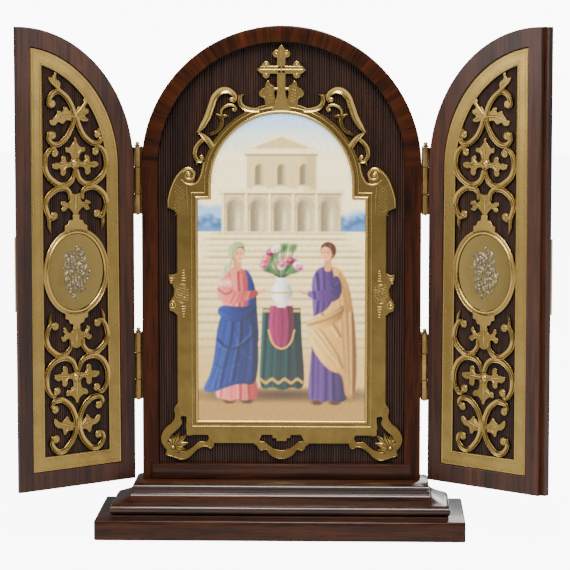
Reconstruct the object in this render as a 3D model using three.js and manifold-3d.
// A travel altar: an arched hardwood case on a stepped plinth, with two half-arch doors on
// brass hinges. A gilt mount with a cross frames a painted porcelain plaque in the case, and
// each door carries a pierced brass grille with an oval medallion over a reeded ground.
// Millimetres, +Z up, the front faces -Y, origin at the centre of the plinth's underside.
import * as THREE from 'three';
import { mergeVertices } from 'three/addons/utils/BufferGeometryUtils.js';
import Module from 'manifold-3d';

const wasm = await Module();
wasm.setup();

// Driving dimensions.
const GAP = 0.3; // clearance between pieces that touch
const SLAB_WIDTH = 329;
const SLAB_DEPTH = 120;
const SLAB_HEIGHT = 18;
const SLAB_EDGE = 1.2; // worn rounding of the slab's edges
const PLINTH_TOP = 46;
const LIP_HALF_WIDTH = 132.8; // top lip of the plinth moulding
const LIP_FRONT = -32.3;
const MOULDING_BACK = 26;

const CASE_HALF = 125; // half width, and the arch's radius
const CASE_FRONT = -5;
const CASE_DEPTH = 28;
const SPRING_Z = 328.7; // where the arch starts
const STILE = 14.6;
const RAIL_HEIGHT = 13.5;
const RAIL_LAP = 6; // how far the bottom rail is let into each stile
const RECESS = 8; // from the rim's front to the reeds' crests
const REED_PITCH = 4.4;
const REED_DEPTH = 0.9;
const PANEL_BACK = CASE_FRONT + CASE_DEPTH - 2;

const OPENING_HALF = 75.1; // the mount's opening: wide part, then a narrower arched part
const OPENING_ARCH_R = 63.4;
const OPENING_BOTTOM = 98.8;
const OPENING_SHOULDER = 299;
const OPENING_SPRING = 312.5;
const MOUNT_BACK = CASE_FRONT + RECESS - GAP;
const MOUNT_THICK = 2.4;
const MOUNT_RELIEF = 1.5; // how far raised work stands above the mount's plate
const CAST_STEP = 0.5; // the raised work's hollow back stays clear of the reeds
const PLAQUE_THICK = 2.6;

const DOOR_ANGLE = 41; // degrees forward of lying in line with the case's front
const DOOR_THICK = 11;
const DOOR_BOTTOM = PLINTH_TOP + 1.2;
const HINGE_OFFSET = 3.5; // from the case's side to the hinge axis, and on to the door's edge
const DOOR_LAP = 4; // the right door's lip beyond the middle
const LAP_DEPTH = 3.7; // thickness of the doors' inner layer at the meeting edges
const LAP_GAP = 0.8;
const DOOR_RECESS = 6;
const PANEL_HINGE_MARGIN = 14.8;
const PANEL_FREE_MARGIN = 14.6;
const PANEL_ARCH_MARGIN = 16.5;
const PANEL_BOTTOM_MARGIN = 16;
const BORDER = 13;
const GRILLE_BACK = 3.2; // depths below the door's inner face
const GRILLE_FRONT = 1.2;
const GROUND_FRONT = 3.6;
const MEDALLION_Z = 238;
const MEDALLION_U = 29.5; // semi-axes of the medallion's face
const MEDALLION_V = 33.7;
const MEDALLION_RIM = 5.7;
const MEDALLION_THICK = 1.2;
const RIM_FRONT = 0.6; // the rim stands above the rest of the grille
const SPRAY_THICK = 1.2;
const WORK_MARGIN = 2; // how far the scrollwork's ends run in under the border

const BARREL_R = 3;
const BORE_R = 1.6;
const PIN_R = 1.2;
const LEAF = 1;
const LEAF_WIDTH_CASE = 18;
const HINGE_Z = [119, 286]; // bottoms of the two hinges on each side
const KNUCKLES = [18, 24, 18]; // door, case, door, from the bottom up

// Materials.
const material = (color, roughness, metalness) =>
  new THREE.MeshStandardMaterial({ color, roughness, metalness });
const WOOD = material(0x4a2a20, 0.35, 0);
const WOOD_DARK = material(0x33211c, 0.45, 0);
const BRASS = material(0xb08d4c, 0.35, 1);
const SILVER = material(0xc9c6be, 0.3, 1);
const PORCELAIN = material(0xcfc6b0, 0.15, 0);

// Solids: closed three.js geometries joined and cut.
function solid(geometry) {
  const bare = geometry.index ? geometry.toNonIndexed() : geometry.clone();
  for (const name of Object.keys(bare.attributes)) {
    if (name !== 'position') bare.deleteAttribute(name);
  }
  const merged = mergeVertices(bare, 1e-4);
  const vertProperties = new Float32Array(merged.attributes.position.array);
  const triVerts = new Uint32Array(merged.index.array);
  return new wasm.Manifold(new wasm.Mesh({ numProp: 3, vertProperties, triVerts }));
}

const joined = (solids) => solids.reduce((whole, next) => whole.add(next));

function mesh(name, body, finish) {
  const { vertProperties, triVerts } = body.getMesh();
  const geometry = new THREE.BufferGeometry();
  geometry.setAttribute('position', new THREE.BufferAttribute(vertProperties, 3));
  geometry.setIndex(new THREE.BufferAttribute(triVerts, 1));
  geometry.computeVertexNormals();
  const piece = new THREE.Mesh(geometry, finish);
  piece.name = name;
  return piece;
}

// A flat shape drawn in X and Z, made into a plate between two Y planes, front < back.
function plate(shape, front, back, curveSegments = 24) {
  const geometry = new THREE.ExtrudeGeometry(shape, {
    depth: back - front,
    bevelEnabled: false,
    curveSegments,
  });
  return solid(geometry.rotateX(Math.PI / 2).translate(0, back, 0));
}

function block(x0, x1, y0, y1, z0, z1) {
  const geometry = new THREE.BoxGeometry(x1 - x0, y1 - y0, z1 - z0);
  return solid(geometry.translate((x0 + x1) / 2, (y0 + y1) / 2, (z0 + z1) / 2));
}

// A plan shape drawn in X and Y, raised from z0 to z1.
function raised(shape, z0, z1) {
  const geometry = new THREE.ExtrudeGeometry(shape, { depth: z1 - z0, bevelEnabled: false });
  return solid(geometry.translate(0, 0, z0));
}

const points = (pairs) => pairs.map(([x, z]) => new THREE.Vector2(x, z));

// A strap that follows a smooth curve through a few points, with a width at each end.
function ribbon(pairs, startWidth, endWidth, steps = 10) {
  const path = new THREE.SplineCurve(points(pairs));
  const left = [];
  const right = [];
  for (let i = 0; i <= steps; i++) {
    const t = i / steps;
    const at = path.getPointAt(t);
    const along = path.getTangentAt(t);
    const half = THREE.MathUtils.lerp(startWidth, endWidth, t) / 2;
    left.push(new THREE.Vector2(at.x - along.y * half, at.y + along.x * half));
    right.unshift(new THREE.Vector2(at.x + along.y * half, at.y - along.x * half));
  }
  return new THREE.Shape([...left, ...right]);
}

// A closed smooth outline through a few points.
function blob(pairs, steps) {
  const ring = points([...pairs, pairs[0]]).map((p) => new THREE.Vector3(p.x, p.y, 0));
  const path = new THREE.CatmullRomCurve3(ring.slice(0, -1), true, 'centripetal');
  const outline = path.getPoints(steps).slice(0, -1);
  return new THREE.Shape(outline.map((p) => new THREE.Vector2(p.x, p.y)));
}

function oval(x, z, halfWidth, halfHeight, sides = 12) {
  const ring = [];
  for (let i = 0; i < sides; i++) {
    const turn = (i * 2 * Math.PI) / sides;
    ring.push(new THREE.Vector2(x + halfWidth * Math.cos(turn), z + halfHeight * Math.sin(turn)));
  }
  return new THREE.Shape(ring);
}

const mirrored = (pairs) => pairs.map(([x, z]) => [-x, z]);

// An arched outline: straight sides from the bottom, then a semicircle.
function archShape(half, bottom, spring) {
  const shape = new THREE.Shape();
  shape.moveTo(-half, bottom);
  shape.lineTo(half, bottom);
  shape.lineTo(half, spring);
  shape.absarc(0, spring, half, 0, Math.PI, false);
  return shape;
}

// A board whose front is cut into fine vertical reeds, drawn in plan and raised.
function reedBoard(x0, x1, crest, back, z0, z1) {
  const count = Math.round((x1 - x0) / REED_PITCH);
  const pitch = (x1 - x0) / count;
  const shape = new THREE.Shape();
  shape.moveTo(x0, back);
  shape.lineTo(x0, crest + REED_DEPTH);
  for (let i = 0; i < count; i++) {
    shape.lineTo(x0 + (i + 0.5) * pitch, crest);
    shape.lineTo(x0 + (i + 1) * pitch, crest + REED_DEPTH);
  }
  shape.lineTo(x1, back);
  return raised(shape, z0, z1);
}

const altar = new THREE.Group();

// Plinth: a thick slab with worn edges, and a moulding that runs along the front and sides.
function plinthSlab() {
  const half = SLAB_WIDTH / 2 - SLAB_EDGE;
  const deep = SLAB_DEPTH / 2 - SLAB_EDGE;
  const shape = new THREE.Shape();
  shape.moveTo(-half, -deep);
  shape.lineTo(half, -deep);
  shape.lineTo(half, deep);
  shape.lineTo(-half, deep);
  const geometry = new THREE.ExtrudeGeometry(shape, {
    depth: SLAB_HEIGHT - 2 * SLAB_EDGE,
    bevelThickness: SLAB_EDGE,
    bevelSize: SLAB_EDGE,
    bevelSegments: 2,
  });
  return solid(geometry.translate(0, 0, SLAB_EDGE));
}

// The moulding's profile from the foot up, as projection beyond the lip and height.
function mouldingProfile() {
  const foot = SLAB_HEIGHT + GAP;
  const profile = points([[16.8, foot], [16.8, 20.6]]);
  const nose = new THREE.SplineCurve(points([[16.8, 20.6], [18.4, 25.4], [15.4, 30.2]]));
  const cyma = new THREE.SplineCurve(points([[15.4, 30.2], [8, 33.6], [2.6, 35.6], [0.4, 38]]));
  profile.push(...nose.getPoints(6).slice(1), ...cyma.getPoints(8).slice(1));
  profile.push(...points([[-1.4, 38.6], [-1.4, 41.4], [0, 41.8], [0, 43]]));
  const ovolo = new THREE.SplineCurve(points([[0, 43], [-0.9, 45], [-3, PLINTH_TOP]]));
  profile.push(...ovolo.getPoints(4).slice(1));
  return profile;
}

function plinthMoulding() {
  const profile = mouldingProfile();
  const reach = SLAB_WIDTH;
  const across = profile.map((p) => new THREE.Vector2(LIP_HALF_WIDTH + p.x, p.y));
  const mirror = across.map((p) => new THREE.Vector2(-p.x, p.y)).reverse();
  const sides = plate(new THREE.Shape([...across, ...mirror]), -reach, MOULDING_BACK);
  // The front run is drawn with X standing for depth, then turned to run along X.
  const run = profile.map((p) => new THREE.Vector2(p.x - LIP_FRONT, p.y));
  const back = points([[-MOULDING_BACK, PLINTH_TOP], [-MOULDING_BACK, SLAB_HEIGHT + GAP]]);
  const geometry = new THREE.ExtrudeGeometry(new THREE.Shape([...run, ...back]), {
    depth: 2 * reach,
    bevelEnabled: false,
  });
  geometry.rotateX(Math.PI / 2).translate(0, reach, 0).rotateZ(-Math.PI / 2);
  return solid(geometry).intersect(sides);
}

altar.add(mesh('plinth_slab', plinthSlab(), WOOD));
altar.add(mesh('plinth_moulding', plinthMoulding(), WOOD));

// Case: an arched rim, a bottom rail let into its stiles, and a reeded board inside.
const CASE_BOTTOM = PLINTH_TOP + GAP;
const CASE_BACK = CASE_FRONT + CASE_DEPTH;
const RECESS_HALF = CASE_HALF - STILE;
const SILL_Z = CASE_BOTTOM + RAIL_HEIGHT;

function caseRim() {
  const whole = plate(archShape(CASE_HALF, CASE_BOTTOM, SPRING_Z), CASE_FRONT, CASE_BACK, 24);
  const recess = archShape(RECESS_HALF, CASE_BOTTOM - 1, SPRING_Z);
  const hollow = plate(recess, CASE_FRONT - 1, CASE_BACK + 1, 24);
  const lap = RECESS_HALF + RAIL_LAP + GAP;
  const letIn = block(-lap, lap, CASE_FRONT - 1, CASE_BACK + 1, CASE_BOTTOM - 1, SILL_Z + GAP);
  return whole.subtract(hollow).subtract(letIn);
}

function reededPanel() {
  const half = RECESS_HALF - GAP;
  const crest = CASE_FRONT + RECESS;
  const board = reedBoard(-half, half, crest, PANEL_BACK, SILL_Z + GAP, SPRING_Z + half);
  const arch = archShape(half, SILL_Z + GAP, SPRING_Z);
  return board.intersect(plate(arch, crest - 1, PANEL_BACK + 1, 24));
}

const railHalf = RECESS_HALF + RAIL_LAP;
const rail = block(-railHalf, railHalf, CASE_FRONT, CASE_BACK, CASE_BOTTOM, SILL_Z);
altar.add(mesh('case_rim', caseRim(), WOOD));
altar.add(mesh('bottom_rail', rail, WOOD));
altar.add(mesh('reeded_panel', reededPanel(), WOOD_DARK));

// Gilt mount: one casting. Its opening has a wide part and a narrower arched head.
function openingShape(grow) {
  const wide = OPENING_HALF + grow;
  const arch = OPENING_ARCH_R + grow;
  const shape = new THREE.Shape();
  shape.moveTo(-wide, OPENING_BOTTOM - grow);
  shape.lineTo(wide, OPENING_BOTTOM - grow);
  shape.lineTo(wide, OPENING_SHOULDER + grow);
  shape.lineTo(arch, OPENING_SHOULDER + grow);
  shape.lineTo(arch, OPENING_SPRING);
  shape.absarc(0, OPENING_SPRING, arch, 0, Math.PI, false);
  shape.lineTo(-arch, OPENING_SHOULDER + grow);
  shape.lineTo(-wide, OPENING_SHOULDER + grow);
  return shape;
}

function giltMount() {
  const plateFront = MOUNT_BACK - MOUNT_THICK;
  const topFront = plateFront - MOUNT_RELIEF;
  const cast = [];
  const low = (shape) => cast.push(plate(shape, plateFront, MOUNT_BACK, 14));
  const high = (shape) => cast.push(plate(shape, topFront, MOUNT_BACK - CAST_STEP, 14));
  const pair = (make, raise) => {
    raise(make((pairs) => pairs));
    raise(make(mirrored));
  };
  // The flat bands beside and below the opening, cut back at the corners and over the drop.
  const bandHalf = 93.8;
  const bandBottom = 77.9;
  const rightBand = [
    [0, 80], [4.8, 80], [4.8, 82.6], [8.2, 82.8], [8.2, 85.7], [17.6, 85.7], [21, bandBottom],
    [62.4, bandBottom], [66.5, 85.4], [86, 85.4], [86, 102], [90.4, 103], [bandHalf, 111],
    [bandHalf, 290],
  ];
  low(new THREE.Shape(points([...rightBand, ...mirrored(rightBand).reverse().slice(0, -1)])));
  low(archShape(OPENING_ARCH_R + 8.6, 280, OPENING_SPRING));
  high(openingShape(5.2));
  // The cross over the arch, with round lobes on its arms, and two leaves at its foot.
  const crossArm = 3.4;
  high(new THREE.Shape(points([
    [-6.5, 381], [6.5, 381], [crossArm, 393], [crossArm, 433], [0, 436.5], [-crossArm, 433],
    [-crossArm, 393],
  ])));
  high(new THREE.Shape(points([
    [-21.7, 414.6], [-18.5, 411.2], [18.5, 411.2], [21.7, 414.6], [18.5, 418], [-18.5, 418],
  ])));
  for (const side of [-1, 1]) {
    high(oval(side * 4.9, 428.6, 2.7, 2.7, 6));
    high(oval(side * 12.8, 418.9, 2.7, 2.7, 6));
    high(oval(side * 12.8, 409.4, 2.7, 2.7, 6));
  }
  pair((flip) => blob(flip([
    [11.9, 405], [14.6, 399.8], [19.6, 395.4], [19.8, 391.8], [15.4, 388.6], [13.4, 382], [5, 383],
    [6.4, 393], [6.2, 399.4],
  ]), 11), high);
  pair((flip) => ribbon(flip([[8, 397.6], [1, 397.6]]), 3.2, 3.2, 1), low);
  pair((flip) => ribbon(flip([
    [36.2, 392], [37.2, 387], [34.8, 382], [29, 379.2], [20, 378.6],
  ]), 4, 4.4, 5), low);
  // The large C-scroll and the vine inside it, on each side of the arch.
  pair((flip) => ribbon(flip([
    [75, 358.8], [66, 372], [62.4, 382], [57.4, 392.4], [51, 396.4], [44.6, 394.6], [42, 388.6],
  ]), 5, 5.4, 7), high);
  pair((flip) => oval(flip([[44.4, 388]])[0][0], 388, 3.6, 3.6, 6), high);
  pair((flip) => ribbon(flip([[61.6, 345.6], [66.6, 352.6], [75.4, 359.8]]), 6.4, 2.4, 2), high);
  pair((flip) => ribbon(flip([
    [67.4, 352.6], [57, 360.6], [53.2, 367.2], [52.6, 378], [44.6, 383], [41.4, 378.6],
  ]), 3.2, 2.8, 5), low);
  pair((flip) => ribbon(flip([[59, 375], [53.6, 372], [46.8, 373.2]]), 2, 1.4, 2), low);
  pair((flip) => ribbon(flip([
    [67.6, 354], [73.6, 349], [77.2, 342], [76, 335], [69.4, 335],
  ]), 3.6, 3.6, 5), high);
  // Shoulder: a volute on the corner and an acanthus leaf that sweeps down the outer side.
  pair((flip) => new THREE.Shape(points(flip([
    [69, 333.6], [69.8, 327], [72.6, 317], [76.2, 312.6], [79.6, 312.2], [77.8, 322], [82, 327.2],
    [88, 326], [94, 320], [98.6, 311], [101.8, 300], [102.5, 291.2], [95.6, 288.4], [93, 280],
    [76, 284], [66, 300],
  ]))), low);
  pair((flip) => oval(flip([[83, 320.8]])[0][0], 320.8, 6.2, 6.2, 9), high);
  pair((flip) => ribbon(flip([
    [69.4, 332], [72.8, 318.6], [78, 313], [89.8, 316.6],
  ]), 2.4, 2.2, 4), high);
  pair((flip) => ribbon(flip([[88, 325], [98, 310.4], [101, 292]]), 3.6, 1.8, 3), high);
  // The small cartouche at the middle of each side.
  pair((flip) => new THREE.Shape(points(flip([
    [86, 234], [93.4, 233], [98, 230.6], [102, 231.6], [101.4, 226.6], [96.6, 218], [97.4, 212],
    [101.8, 204.4], [100.6, 198.2], [92.6, 193], [86, 195], [83, 206], [83, 222],
  ]))), high);
  // Bottom corners: a broad curling rib round an open corner, and the palmette inside it.
  pair((flip) => ribbon(flip([
    [93, 110.6], [92.4, 102], [101.4, 90.4], [104.6, 80], [99.4, 69.6], [89, 66.4], [79, 74.4],
    [72.4, 78.2], [61, 80.4],
  ]), 6, 5, 12), low);
  pair((flip) => new THREE.Shape(points(flip([
    [99, 70], [103, 76], [102, 86], [98.4, 80.6], [96, 87.4], [93.6, 80.4], [89, 84.6], [90.4, 77.4],
    [86, 77.6], [89.6, 73.4], [87.4, 70],
  ]))), high);
  // Bottom middle: a pierced drop.
  low(ribbon([
    [-26, 80.4], [-19.4, 76.4], [-14.2, 75.4], [-10.4, 71.6], [-5, 68.6], [0, 67.8], [5, 68.6],
    [10.4, 71.6], [14.2, 75.4], [19.4, 76.4], [26, 80.4],
  ], 6, 6, 12));
  const casting = joined(cast);
  return casting.subtract(plate(openingShape(0), topFront - 1, MOUNT_BACK + 1, 14));
}

const plaqueFront = MOUNT_BACK - PLAQUE_THICK;
const plaque = plate(openingShape(-GAP), plaqueFront, MOUNT_BACK, 14);
altar.add(mesh('gilt_mount', giltMount(), BRASS));
altar.add(mesh('porcelain_plaque', plaque, PORCELAIN));

// Hinge pieces, drawn about a vertical axis at the origin. away is -1 or 1, the side in X that
// the leaf lies on, and its plate runs back from the axis by its width.
function knuckle(z0, z1) {
  const ring = oval(0, 0, BARREL_R, BARREL_R, 8);
  ring.holes.push(oval(0, 0, BORE_R, BORE_R, 6));
  return raised(ring, z0, z1);
}

function leaf(away, width, z0, own) {
  const near = away * (HINGE_OFFSET - GAP - LEAF);
  const far = away * (HINGE_OFFSET - GAP);
  const [x0, x1] = [Math.min(near, far), Math.max(near, far)];
  const clear = BARREL_R + GAP;
  const height = KNUCKLES.reduce((sum, length) => sum + length);
  const pieces = [block(x0, x1, clear, width, z0, z0 + height)];
  let z = z0;
  KNUCKLES.forEach((length, i) => {
    if (own.includes(i)) {
      const bottom = z + (i > 0 ? GAP : 0);
      pieces.push(knuckle(bottom, z + length));
      // The tongue from the leaf to the barrel passes beside the pin's bore.
      pieces.push(block(x0, x1, 0, clear + 1, bottom, z + length));
    }
    z += length;
  });
  return joined(pieces);
}

function hingePin(z0) {
  const height = KNUCKLES.reduce((sum, length) => sum + length);
  const top = z0 + height + GAP;
  const profile = points([
    [0, z0 - 0.8], [PIN_R, z0 - 0.8], [PIN_R, top], [2.6, top], [2.8, top + 1], [1.5, top + 1.8],
    [1.9, top + 3], [1.2, top + 4.2], [0, top + 4.6],
  ]);
  return solid(new THREE.LatheGeometry(profile, 6).rotateX(Math.PI / 2));
}

// Doors. side is -1 for the left door and 1 for the right one. Each is drawn about its hinge
// axis: the distance u from the axis runs along side * X, and the thickness runs back along +Y.
const AXIS_X = CASE_HALF + HINGE_OFFSET;
const DOOR_FACE = GAP;
const DOOR_BACK = DOOR_FACE + DOOR_THICK;
const MIDDLE_U = AXIS_X; // the case's middle line, seen from a closed door
const FREE_U = MIDDLE_U - 0.4;

// A half-arch between two distances from the axis, inset from the case's arch.
function halfArch(side, u0, u1, inset, bottom) {
  const radius = CASE_HALF - inset;
  const outline = points([[u0, bottom], [u1, bottom]]);
  const steps = 12;
  const reach = (u) => Math.acos(THREE.MathUtils.clamp((MIDDLE_U - u) / radius, -1, 1));
  const [first, last] = [reach(u1), reach(u0)];
  for (let i = 0; i <= steps; i++) {
    const turn = THREE.MathUtils.lerp(first, last, i / steps);
    const u = MIDDLE_U - radius * Math.cos(turn);
    outline.push(new THREE.Vector2(u, SPRING_Z + radius * Math.sin(turn)));
  }
  return new THREE.Shape(outline.map((p) => new THREE.Vector2(side * p.x, p.y)));
}

const panelU = [HINGE_OFFSET + PANEL_HINGE_MARGIN, FREE_U - PANEL_FREE_MARGIN];
const panelBottom = DOOR_BOTTOM + PANEL_BOTTOM_MARGIN;
const openMiddle = (panelU[0] + panelU[1]) / 2;

// The recessed panel's outline on a door, drawn in on every side.
function panelShape(side, inset) {
  return halfArch(side, panelU[0] + inset, panelU[1] - inset, PANEL_ARCH_MARGIN + inset,
    panelBottom + inset);
}

function doorBoard(side) {
  const split = DOOR_FACE + LAP_DEPTH;
  const outerEnd = side > 0 ? MIDDLE_U + DOOR_LAP : MIDDLE_U - DOOR_LAP - LAP_GAP;
  const outerSplit = side > 0 ? split + LAP_GAP : split;
  const inner = plate(halfArch(side, HINGE_OFFSET, FREE_U, 0, DOOR_BOTTOM), DOOR_FACE, outerSplit);
  const outer = plate(halfArch(side, HINGE_OFFSET, outerEnd, 0, DOOR_BOTTOM), outerSplit, DOOR_BACK);
  const recess = plate(panelShape(side, 0), DOOR_FACE - 1, DOOR_FACE + DOOR_RECESS);
  return inner.add(outer).subtract(recess);
}

function doorGround(side) {
  const [u0, u1] = panelU.map((u) => side * u);
  const crest = DOOR_FACE + GROUND_FRONT;
  const back = DOOR_FACE + DOOR_RECESS - GAP;
  const top = SPRING_Z + CASE_HALF;
  const [left, right] = [Math.min(u0, u1), Math.max(u0, u1)];
  const board = reedBoard(left, right, crest, back, DOOR_BOTTOM, top);
  return board.intersect(plate(panelShape(side, GAP), crest - 1, back + 1));
}

// Half of the grille's scrollwork, as [points, start width, end width, round eye at the end],
// measured from the medallion's middle and mirrored to the other half.
const SCROLLS = [
  // The fork above the upper lyre.
  [[
    [1, 136], [5.1, 125.4], [12.2, 116.6], [20.7, 112.8], [27.6, 116], [28.6, 121.6], [23, 123.6],
  ], 4.4, 3.4, 3.2],
  // The upper lyre, then the C below it, whose tail runs down to the medallion's rim.
  [[
    [20, 105.6], [23.5, 109.6], [29.1, 106.6], [32.7, 98.1], [31.3, 88.7], [23.9, 80.7], [14, 77],
    [4, 81], [0, 92],
  ], 3.4, 5, 0],
  [[
    [4, 60], [7, 71], [14.6, 74.4], [25.4, 71.2], [32.8, 62.5], [30.6, 54.2], [23, 48.6],
  ], 4.6, 4, 3.4],
  [[[30.6, 55], [28.4, 46], [26.4, 35.6]], 4, 1.6, 0],
  // The same again below the medallion.
  [[
    [4, -58.6], [7, -67.3], [16.9, -73.1], [25.8, -69.4], [32.8, -61.2], [31, -50.5], [23, -45.8],
  ], 4.6, 4, 3.4],
  [[[31, -52.5], [28.6, -44.4], [26.4, -34.6]], 4, 1.6, 0],
  [[
    [20.5, -105], [25.3, -109.1], [30.4, -104.6], [33, -95.5], [31.4, -86.5], [24.4, -78.3],
    [14, -75.6], [5.6, -79], [0, -89.6],
  ], 3.4, 5, 0],
  // The waisted scrolls at the foot.
  [[
    [23.4, -120.2], [25.6, -114.9], [18, -112.7], [10.7, -116.3], [4.1, -124.6], [1.2, -134.7],
    [3.2, -144.5], [8.8, -152.9], [18.2, -161.6], [26, -153.1], [25, -145.3],
  ], 4, 4.4, 3.4],
];
// Leaf shapes of the grille's right half, mirrored too: lilies, shields, foot leaves.
const LEAVES = [
  [[0, 118], [4, 112], [10, 108.6], [8.6, 105], [4.6, 104.4], [3.6, 98], [0, 92]],
  [
    [0, 98], [9, 97.4], [10.6, 102], [14.4, 101.6], [16, 96.6], [24.9, 94], [19, 90.6],
    [15.6, 91], [13, 85.4], [9.4, 91.4], [0, 92.6],
  ],
  [
    [0, 68.6], [7, 68.6], [5.4, 65], [9.4, 61], [15.6, 59.4], [13, 54.6], [9, 56.6], [4, 53],
    [0, 42],
  ],
  [
    [0, -44.4], [4.4, -50.5], [13.6, -50.9], [12.6, -55.6], [15.2, -59], [8, -58.6],
    [6.4, -62.7], [0, -67.4],
  ],
  [
    [0, -89.4], [9, -89.8], [10.6, -83.7], [14.6, -83.2], [15.6, -88.4], [23.8, -90.9],
    [18.8, -95.6], [15.6, -95.2], [12, -100.8], [9.4, -95], [0, -95.6],
  ],
  [[0, -116.4], [5, -110.8], [11, -108.7], [9, -104.5], [5, -102.9], [3.6, -97.7], [0, -91.5]],
  [
    [0, -135.2], [8, -132.7], [10.4, -128.5], [13, -131.7], [23.8, -130.4], [22.4, -137.3],
    [13.4, -143.6], [9, -141.1], [0, -140.5],
  ],
];
// The acanthus at the fork and the bud under the arch, which have no mirror image.
const SPRIGS = [
  [
    [0, 139], [5, 144], [11.6, 144.6], [12.6, 141.4], [18.4, 141.6], [19.6, 137.6], [26.8, 132.6],
    [17, 131.6], [0, 133],
  ],
  [[0, 134], [0, 141], [-8, 150], [-12.4, 151.6], [-12.2, 146], [-10, 142], [-13.8, 139], [-13, 134]],
  [[15, 164], [17, 171], [22, 176.4], [24, 171], [27.4, 170.6], [25, 165.4], [20, 161.6]],
];
const LILY_Z = [96, -93.6]; // middles of the two lilies, each with a round boss
const BOSS_R = 3.4;
const BOSS_SEAT = BOSS_R + 2.4; // the scrollwork's pad under each boss
const CAP_FOOT = 30; // where the stepped caps start, inside the medallion's rim
const CAP_STEPS = [[12.2, 42], [6.4, 46.4]]; // half width and top of each step

function grille(side) {
  const at = (pairs) => pairs.map(([x, z]) => [side * (openMiddle + x), MEDALLION_Z + z]);
  const front = DOOR_FACE + GRILLE_FRONT;
  const back = DOOR_FACE + GRILLE_BACK;
  const border = plate(panelShape(side, GAP), front, back);
  const opening = panelShape(side, BORDER);
  const work = [];
  const low = (shape) => work.push(plate(shape, front, back));
  for (const [pairs, start, end, eye] of SCROLLS) {
    for (const half of [pairs, mirrored(pairs)]) {
      const path = at(half);
      low(ribbon(path, start, end, Math.max(2, pairs.length - 2)));
      const [x, z] = path[path.length - 1];
      if (eye) low(oval(x, z, eye, eye, 6));
    }
  }
  for (const outline of LEAVES) {
    low(new THREE.Shape(points(at(outline))));
    low(new THREE.Shape(points(at(mirrored(outline)))));
  }
  for (const outline of SPRIGS) low(new THREE.Shape(points(at(outline))));
  for (const z of LILY_Z) low(oval(side * openMiddle, MEDALLION_Z + z, BOSS_SEAT, BOSS_SEAT, 8));
  // The stem that bends towards the free edge under the arch, with its curl.
  low(ribbon(at([[21, 166], [17, 159.6], [9, 154], [3.4, 146], [0, 136]]), 4, 4.6, 5));
  low(ribbon(at([[12, 156.6], [20, 158.6], [26, 154.6], [27.6, 148], [23.6, 145]]), 4, 3.4, 5));
  // The medallion's rim, with a stepped cap above and below it.
  const medallionOval = (grow) =>
    oval(side * openMiddle, MEDALLION_Z, MEDALLION_U + grow, MEDALLION_V + grow, 16);
  const rim = medallionOval(MEDALLION_RIM);
  low(rim);
  for (const up of [-1, 1]) {
    for (const [half, rise] of CAP_STEPS) {
      low(new THREE.Shape(points(at([
        [-half, up * CAP_FOOT], [half, up * CAP_FOOT], [half, up * rise], [-half, up * rise],
      ]))));
    }
  }
  const scrollwork = joined(work).intersect(plate(panelShape(side, WORK_MARGIN), front, back));
  const raisedRim = plate(rim, DOOR_FACE + RIM_FRONT, back);
  const face = plate(medallionOval(0), 0, back + 1);
  const pins = joined(LILY_Z.map((z) =>
    plate(oval(side * openMiddle, MEDALLION_Z + z, BOSS_R + GAP, BOSS_R + GAP, 8), 0, back + 1)));
  return border.subtract(plate(opening, 0, back + 1)).add(scrollwork).add(raisedRim)
    .subtract(face).subtract(pins);
}

// The medallion: an oval plate let into the rim, with a silvered spray of leaves on it.
function medallion(side) {
  const back = DOOR_FACE + GRILLE_BACK;
  const shape = oval(side * openMiddle, MEDALLION_Z, MEDALLION_U - GAP, MEDALLION_V - GAP, 16);
  return plate(shape, back - MEDALLION_THICK, back);
}

function medallionSpray(side) {
  const at = (pairs) => pairs.map(([x, z]) => [side * openMiddle + x, MEDALLION_Z + z]);
  const back = DOOR_FACE + GRILLE_BACK - MEDALLION_THICK - GAP;
  const leaves = [ribbon(at([[0, -25], [0, 0], [0, 26]]), 2.4, 1.4, 1)];
  for (const half of [1, -1]) {
    for (const z of [-18, -5, 8]) {
      leaves.push(new THREE.Shape(points(at([
        [0, z], [half * 9, z + 2], [half * 15, z + 10], [half * 6, z + 9],
      ]))));
    }
  }
  leaves.push(oval(...at([[0, 22]])[0], 5, 6, 8));
  return joined(leaves.map((shape) => plate(shape, back - SPRAY_THICK, back)));
}

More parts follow.
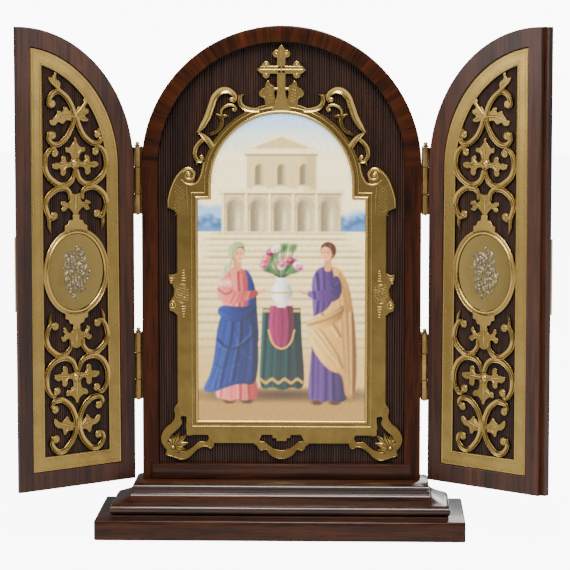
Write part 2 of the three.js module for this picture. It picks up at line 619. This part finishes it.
function boss(side, z) {
  const profile = points([[0, 0], [BOSS_R, 0], [BOSS_R, 1.4], [BOSS_R * 0.7, 2.2], [0, 2.6]]);
  const turned = new THREE.LatheGeometry(profile, 8).translate(0, -DOOR_FACE - GRILLE_BACK, 0);
  turned.rotateZ(Math.PI).translate(side * openMiddle, 0, MEDALLION_Z + z);
  return solid(turned);
}

// The closing plate on the outer face beside the meeting edge.
function closingPlate(side) {
  const end = side > 0 ? MIDDLE_U + DOOR_LAP - 1 : MIDDLE_U - DOOR_LAP - LAP_GAP - 1;
  const [middle, half, width] = [238, 33, 16];
  const shape = new THREE.Shape(points([
    [end - width, middle - half * 0.5], [end - width * 0.6, middle - half], [end, middle - half],
    [end, middle + half], [end - width * 0.6, middle + half], [end - width, middle + half * 0.5],
  ]).map((p) => new THREE.Vector2(side * p.x, p.y)));
  return plate(shape, DOOR_BACK + GAP, DOOR_BACK + GAP + 3);
}

for (const [side, word] of [[-1, 'left'], [1, 'right']]) {
  const axis = new THREE.Group();
  axis.position.set(side * AXIS_X, CASE_FRONT, 0);
  altar.add(axis);
  const door = new THREE.Group();
  door.rotation.z = -side * THREE.MathUtils.degToRad(DOOR_ANGLE);
  axis.add(door);
  door.add(mesh(`${word}_door_board`, doorBoard(side), WOOD));
  door.add(mesh(`${word}_door_ground`, doorGround(side), WOOD_DARK));
  door.add(mesh(`${word}_door_grille`, grille(side), BRASS));
  door.add(mesh(`${word}_medallion`, medallion(side), BRASS));
  door.add(mesh(`${word}_medallion_spray`, medallionSpray(side), SILVER));
  ['upper', 'lower'].forEach((place, i) => {
    door.add(mesh(`${word}_${place}_boss`, boss(side, LILY_Z[i]), BRASS));
  });
  door.add(mesh(`${word}_closing_plate`, closingPlate(side), BRASS));
  ['lower', 'upper'].forEach((place, i) => {
    const hinge = `${word}_${place}_hinge`;
    door.add(mesh(`${hinge}_door_leaf`, leaf(side, DOOR_THICK - 1, HINGE_Z[i], [0, 2]), BRASS));
    axis.add(mesh(`${hinge}_case_leaf`, leaf(-side, LEAF_WIDTH_CASE, HINGE_Z[i], [1]), BRASS));
    axis.add(mesh(`${hinge}_pin`, hingePin(HINGE_Z[i]), BRASS));
  });
}

export default altar;
